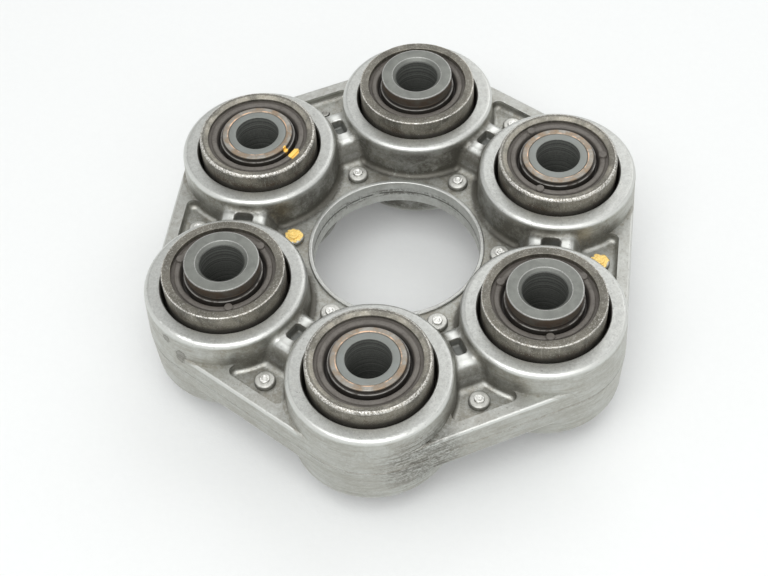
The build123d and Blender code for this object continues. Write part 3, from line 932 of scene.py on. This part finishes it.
def can_outline(can):
    """The can's section: square-rimmed at the top, rolled over at the bottom, with its collar."""
    slope = can.rolled_slope
    crown = can.end + can.rolled_round * (1 / math.cos(slope) - 1)
    corner = crown + can.rolled_round * math.tan(slope)
    lip = corner - (can.radius - can.lip_radius) * math.tan(slope)
    under = can.end - can.lip_thickness
    half_collar = can.collar_thickness / 2
    return rounded_outline(
        [
            (can.inner_radius, -under, 0),
            (can.lip_radius, -under, 0),
            (can.lip_radius, -lip, 0.25 * MM),
            (can.radius, -corner, can.rolled_round),
            (can.radius, -half_collar, 0),
            (can.collar_radius, -half_collar, 0),
            (can.collar_radius, half_collar, 0),
            (can.radius, half_collar, 0),
            (can.radius, can.end, can.square_round),
            (can.lip_radius, can.end, 0.2 * MM),
            (can.lip_radius, under, 0),
            (can.inner_radius, under, 0),
        ]
    )


class COUPLING_OT_bush_cans(bpy.types.Operator):
    """Make the steel cans of the bushes"""

    bl_idname = "coupling.bush_cans"
    bl_label = "Bush cans"

    def execute(self, context):
        sizes = settings(context)
        layout = sizes["layout"]
        cans = ring_of_copies(
            "bush_cans",
            can_outline(sizes["can"]),
            layout.segments,
            can_finish(sizes),
            copies=layout.bushes,
            radius=layout.bolt_circle,
            first_angle=layout.first_bush,
            turned_over=1.0,
        )
        stand_in(cans, [f"bush_can_{n}" for n in BUSHES])
        return {"FINISHED"}


def ring_outline(sleeve):
    """The inner ring's section, with a neck at each end."""
    shoulder = sleeve.ring_end - sleeve.neck_length
    half = [
        (sleeve.ring_radius, shoulder, sleeve.ring_round),
        (sleeve.neck_radius, shoulder, 0),
        (sleeve.neck_radius, sleeve.ring_end, sleeve.ring_round),
        (sleeve.sleeve_radius, sleeve.ring_end, sleeve.ring_round),
    ]
    return rounded_outline([(r, -h, e) for r, h, e in reversed(half)] + half, steps=4)


def sleeve_outline(sleeve):
    """The flanged sleeve's section."""
    bottom = -sleeve.ring_end + 0.1 * MM
    return rounded_outline(
        [
            (sleeve.bore_radius, bottom, 0.3 * MM),
            (sleeve.sleeve_radius, bottom, sleeve.edge),
            (sleeve.sleeve_radius, sleeve.ring_end, 0),
            (sleeve.flange_radius, sleeve.ring_end, 0.1 * MM),
            (sleeve.flange_radius, sleeve.flange_top, sleeve.edge),
            (sleeve.bore_radius + sleeve.mouth, sleeve.flange_top, 0.12 * MM),
            (sleeve.bore_radius, sleeve.flange_top - sleeve.mouth, 0.12 * MM),
        ],
        steps=4,
    )


class COUPLING_OT_sleeves(bpy.types.Operator):
    """Make the inner rings and the flanged sleeves that are pressed into them"""

    bl_idname = "coupling.sleeves"
    bl_label = "Inner rings and sleeves"

    def execute(self, context):
        sizes = settings(context)
        layout = sizes["layout"]
        spread = {
            "copies": layout.bushes,
            "radius": layout.bolt_circle,
            "first_angle": layout.first_bush,
            "turned_over": 1.0,
        }
        smear = [((-34.2, 20.2, 19.3), 0.7)]
        copper = ring_finish(sizes, smear)
        rings = ring_of_copies("inner_rings", ring_outline(sizes["sleeve"]), layout.segments, copper, **spread)
        stand_in(rings, [f"bush_inner_ring_{n}" for n in BUSHES])
        steel = sleeve_finish(sizes)
        sleeves = ring_of_copies("flanged_sleeves", sleeve_outline(sizes["sleeve"]), layout.segments, steel, **spread)
        stand_in(sleeves, [f"flanged_sleeve_{n}" for n in BUSHES])
        return {"FINISHED"}


def rubber_outline(rubber, can, sleeve):
    """The rubber's section between inner ring and can."""
    moat_floor = rubber.ridge_top - rubber.moat_depth
    shelf = rubber.ridge_top - rubber.shelf_drop
    under = can.end - can.lip_thickness
    half = [
        (can.inner_radius, under, 0),
        (can.lip_radius, under, 0),
        (can.lip_radius, shelf, 0),
        (rubber.ridge_outer, shelf, 0.1 * MM),
        (rubber.ridge_outer, rubber.ridge_top, 0.4 * MM),
        (rubber.ridge_inner, rubber.ridge_top, rubber.ridge_round),
        (sleeve.ring_radius + rubber.moat_width, moat_floor, 0.2 * MM),
        (sleeve.ring_radius, moat_floor, 0),
    ]
    return rounded_outline(half + [(r, -h, e) for r, h, e in reversed(half)], steps=4)


PIPS = {1: (-1, 0.0), 2: (1, 11.0), 3: (1, 41.0), 4: (-1, 20.0), 5: (1, 48.0), 6: (-1, 75.0)}


def pip_mesh(rubber, layout):
    """The small moulded pips, three on one end of each bush's rubber."""
    pip = rounded_outline(
        [
            (0.05 * MM, -1.0 * MM, 0),
            (rubber.pip_radius, -1.0 * MM, 0),
            (rubber.pip_radius, rubber.pip_rise, 0.35 * MM),
            (0.05 * MM, rubber.pip_rise, 0),
        ]
    )
    shape = bmesh.new()
    for bush, centre in zip(BUSHES, bush_places(layout)):
        side, first = PIPS[bush]
        for index in range(3):
            turn = math.radians(first * side + 120 * index)
            spot = centre + Vector((math.cos(turn), math.sin(turn))) * rubber.pip_circle
            before = len(shape.verts)
            shape.from_mesh(turned_mesh("pip", pip, 32))
            shape.verts.ensure_lookup_table()
            flip = Matrix.Rotation(0 if side > 0 else math.pi, 4, "X")
            move = Matrix.Translation((*spot, side * rubber.ridge_top)) @ flip
            bmesh.ops.transform(shape, matrix=move, verts=shape.verts[before:])
    mesh = bpy.data.meshes.new("pips")
    shape.to_mesh(mesh)
    shape.free()
    return mesh


class COUPLING_OT_rubbers(bpy.types.Operator):
    """Make the rubber of the bushes, with its moulded pips"""

    bl_idname = "coupling.rubbers"
    bl_label = "Bush rubbers"

    def execute(self, context):
        sizes = settings(context)
        layout = sizes["layout"]
        black = rubber_finish(sizes, [((-31.6, 19.4, 18.3), 1.8)])
        rubbers = ring_of_copies(
            "bush_rubbers",
            rubber_outline(sizes["rubber"], sizes["can"], sizes["sleeve"]),
            layout.segments,
            black,
            copies=layout.bushes,
            radius=layout.bolt_circle,
            first_angle=layout.first_bush,
        )
        stand_in(rubbers, [f"bush_rubber_{n}" for n in BUSHES])
        pips = shown("rubber_pips", pip_mesh(sizes["rubber"], layout))
        smooth(pips)
        pips.data.materials.append(black)
        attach(pips, "root")
        return {"FINISHED"}


# Rivets


def rivet_finish(sizes, paint_spots):
    """Dull pressed steel, bright on its nubs, with yellow marking paint on two heads, and painted shade on the sides
    and feet of the heads.
    """
    look = sizes["rivet_look"]
    rivet = sizes["rivet"]
    floor_height = sizes["casing"].floor_height / MM
    finish = Finish("rivet_steel")
    place = finish.place()
    level = abs(finish.parts(place)[2])
    cloud = finish.noise(place, 0.5, 3.0, 0.6)
    speck = finish.noise(place, 3.0, 4.0, 0.75)
    nub = finish.within(level, floor_height + rivet.head_height / MM - 0.1, floor_height + rivet.head_height / MM + 0.2)
    # Painted shade at the foot of each head
    foot_shade = finish.within(level, floor_height + 0.9, floor_height + 0.1)
    side = finish.within(finish.upward(), 0.75, 0.25)
    colour = finish.mix(finish.within(cloud, 0.3, 0.7), look.steel, [c * 0.7 for c in look.steel])
    # Painted shade on the sides of the heads
    colour = finish.mix(side * 0.6, colour, [c * 0.45 for c in look.steel])
    colour = finish.mix(nub * finish.within(speck, 0.35, 0.6), colour, look.bright)
    colour = finish.mix(foot_shade * 0.7, colour, sizes["casting_look"].grime_and_shade)
    paint = 0.0
    for centre, radius in paint_spots:
        paint = finish.most(paint, dab(finish, place, centre, radius, 3.0))
    worn_paint = paint * finish.within(speck, 0.72, 0.6)
    fresh = finish.mix(finish.within(speck, 0.42, 0.62), (1.0, 0.74, 0.26), [c * 0.8 for c in look.paint])
    colour = finish.mix(worn_paint, colour, fresh)
    rough = finish.blend(nub, 0.5, 0.34) + (speck - 0.5) * 0.15
    metal = 0.9 - worn_paint * 0.9
    relief = speck * 0.07 + cloud * 0.05 + worn_paint * 0.12
    return finish.surface(Base_Color=colour, Roughness=rough, Metallic=metal, Normal=finish.bump(relief, 0.8, 1.0))


def rivet_outline(rivet, seat, headed_top=True):
    """A rivet's section: pin, heads and dimpled nubs at both ends."""
    axis = 0.02 * MM

    def end(headed):
        head = rivet.head_height if headed else 0.0
        top = seat + head + rivet.nub_height
        corners = [
            (rivet.nub_radius, top, rivet.nub_round),
            (rivet.dimple_radius, top, 0.1 * MM),
            (rivet.dimple_radius - rivet.dimple_depth, top - rivet.dimple_depth, 0.1 * MM),
            (axis, top - rivet.dimple_depth, 0),
        ]
        if headed:
            head_corners = [
                (rivet.pin_radius, seat, 0),
                (rivet.head_radius, seat, 0),
                (rivet.head_radius, seat + head, rivet.head_round),
                (rivet.nub_radius, seat + head, 0),
            ]
            return head_corners + corners
        return corners

    upper = end(headed_top)
    lower = [(r, -h, e) for r, h, e in reversed(end(True))]
    return rounded_outline(lower + upper)


class COUPLING_OT_rivets(bpy.types.Operator):
    """Make the rivets that hold the casings together"""

    bl_idname = "coupling.rivets"
    bl_label = "Rivets"

    def execute(self, context):
        sizes = settings(context)
        layout = sizes["layout"]
        rivet = sizes["rivet"]
        seat = sizes["casing"].floor_height
        first = layout.first_bush - math.pi / layout.bushes
        painted = [self.place(layout.inner_rivets, first, 4), self.place(layout.outer_rivets, first, 1)]
        steel = rivet_finish(sizes, [((*(v / MM for v in spot), 5.2), 2.5) for spot in painted])
        outline = rivet_outline(rivet, seat)
        spread = {
            "copies": layout.bushes,
            "first_angle": first,
            "unevenness": 0.35 * MM,
            "uneven_beyond": seat + rivet.head_height + 0.1 * MM,
        }
        inner = ring_of_copies("inner_rivets", outline, 48, steel, radius=layout.inner_rivets, seed=3, **spread)
        stand_in(inner, [f"inner_rivet_{n}" for n in BUSHES])
        outer = ring_of_copies("outer_rivets", outline, 48, steel, radius=layout.outer_rivets, seed=8, left_out=1, **spread)
        stand_in(outer, [f"outer_rivet_{n}" for n in BUSHES if n != 6])
        plain = shown("plain_ended_rivet", turned_mesh("plain_ended_rivet", rivet_outline(rivet, seat, False), 48))
        plain.data.transform(Matrix.Translation((*self.place(layout.outer_rivets, first, 5), 0)))
        smooth(plain)
        plain.data.materials.append(steel)
        stand_in(plain, ["outer_rivet_6"])
        return {"FINISHED"}

    def place(self, radius, first, index):
        """The flat place of the rivet on a bridge, counted clockwise."""
        turn = first - math.tau / 6 * index
        return Vector((math.cos(turn), math.sin(turn))) * radius


# Stage


def floor_finish(look):
    """A plain pale floor that shows white to the camera and in reflections, and keeps the coupling's shadow."""
    finish = Finish("pale_floor")
    place = finish.place()
    speckle = finish.noise(place, 0.5, 3.0, 0.6)
    colour = finish.mix(speckle, look.floor, [c * 0.97 for c in look.floor])
    path = finish.node("ShaderNodeLightPath", None, None, "Is Camera Ray").output.node.outputs
    seen = finish.most(Term(finish, path["Is Camera Ray"]), Term(finish, path["Is Glossy Ray"]))
    relief = finish.bump(speckle, 0.15, 0.5)
    glow = finish.mix(seen, (0.0, 0.0, 0.0), [look.glow] * 3)
    return finish.surface(
        Base_Color=colour, Roughness=0.9, Emission_Color=glow, Emission_Strength=1.0, Normal=relief
    )


def lamp(name, place, aim, size, power):
    """A soft square lamp that looks at a point."""
    light = bpy.data.lights.new(name, "AREA")
    light.shape = "SQUARE"
    light.size = size
    light.energy = power
    made = shown(name, light)
    made.location = place
    made.rotation_euler = (Vector(aim) - Vector(place)).to_track_quat("-Z", "Y").to_euler()
    return made


def white_world(strength):
    """A world that lights the object softly and shows white behind it."""
    world = bpy.data.worlds.new("studio")
    world.use_nodes = True
    tree = world.node_tree
    tree.nodes.clear()
    path = tree.nodes.new("ShaderNodeLightPath")
    level = tree.nodes.new("ShaderNodeMix")
    level.data_type = "FLOAT"
    background = tree.nodes.new("ShaderNodeBackground")
    out = tree.nodes.new("ShaderNodeOutputWorld")
    seen = path.outputs["Is Camera Ray"]
    for ray in ("Is Glossy Ray", "Is Transmission Ray"):
        either = tree.nodes.new("ShaderNodeMath")
        either.operation = "MAXIMUM"
        tree.links.new(seen, either.inputs[0])
        tree.links.new(path.outputs[ray], either.inputs[1])
        seen = either.outputs[0]
    tree.links.new(seen, socket(level.inputs, "Factor_Float"))
    socket(level.inputs, "A_Float").default_value = strength
    socket(level.inputs, "B_Float").default_value = 1.0
    background.inputs["Color"].default_value = (1, 1, 1, 1)
    tree.links.new(socket(level.outputs, "Result_Float"), background.inputs["Strength"])
    tree.links.new(background.outputs[0], out.inputs[0])
    return world


class COUPLING_OT_stage(bpy.types.Operator):
    """Set up the floor, the lamps and the camera"""

    bl_idname = "coupling.stage"
    bl_label = "Stage"

    def execute(self, context):
        look = settings(context)["stage_look"]
        scene = context.scene
        scene.view_settings.view_transform = "Standard"
        scene.world = white_world(look.sky)

        mesh = bpy.data.meshes.new("floor")
        reach = 2.0
        level = CAD_BOX[0][2]
        corners = [(-reach, -reach, level), (reach, -reach, level), (reach, reach, level), (-reach, reach, level)]
        mesh.from_pydata(corners, [], [(0, 1, 2, 3)])
        mesh.materials.append(floor_finish(look))
        shown("floor", mesh)

        lamp("key", (-0.08, -0.36, 0.85), (0, 0, 0), 0.7, look.key)
        lamp("back", (0.25, 0.68, 0.72), (0, 0, 0), 0.9, look.back)
        lamp("fill", (0.45, -0.55, 0.6), (0, 0, 0), 0.6, look.fill)

        camera = shown("camera", bpy.data.cameras.new("camera"))
        right = Vector((0.9897, 0.1372, -0.0398)).normalized()
        forward = Vector((-0.115, 0.5995, -0.7921)).normalized()
        upright = right.cross(forward).normalized()
        turn = Matrix((right, upright, -forward)).transposed()
        camera.matrix_world = Matrix.Translation((0.04795, -0.27242, 0.34364)) @ turn.to_4x4()
        camera.data.sensor_width = 36.0
        camera.data.lens = look.lens
        camera.data.clip_start = 0.01
        scene.camera = camera
        return {"FINISHED"}


# Panel and registration


OPERATORS = (
    COUPLING_OT_casings,
    COUPLING_OT_bush_cans,
    COUPLING_OT_rubbers,
    COUPLING_OT_sleeves,
    COUPLING_OT_rivets,
    COUPLING_OT_stage,
)


class COUPLING_PT_panel(bpy.types.Panel):
    """Lists the steps that dress the coupling, with their sizes and colours"""

    bl_idname = "COUPLING_PT_panel"
    bl_label = "Disc coupling"
    bl_space_type = "VIEW_3D"
    bl_region_type = "UI"
    bl_category = "Coupling"

    def draw(self, context):
        layout = self.layout
        for operator in OPERATORS:
            layout.operator(operator.bl_idname)
        for key, group in GROUPS.items():
            box = layout.box()
            box.label(text=key.replace("_", " ").capitalize())
            values = getattr(context.scene, f"coupling_{key}")
            for name in group.__annotations__:
                box.prop(values, name)


CLASSES = (*GROUPS.values(), *OPERATORS, COUPLING_PT_panel)


def register():
    for made in CLASSES:
        bpy.utils.register_class(made)
    for key, group in GROUPS.items():
        setattr(bpy.types.Scene, f"coupling_{key}", PointerProperty(type=group))


def unregister():
    for key in GROUPS:
        delattr(bpy.types.Scene, f"coupling_{key}")
    for made in reversed(CLASSES):
        bpy.utils.unregister_class(made)


def main():
    """Register the classes and make every piece."""
    register()
    bpy.ops.coupling.casings()
    bpy.ops.coupling.bush_cans()
    bpy.ops.coupling.rubbers()
    bpy.ops.coupling.sleeves()
    bpy.ops.coupling.rivets()
    bpy.ops.coupling.stage()


if __name__ == "__main__":
    main()
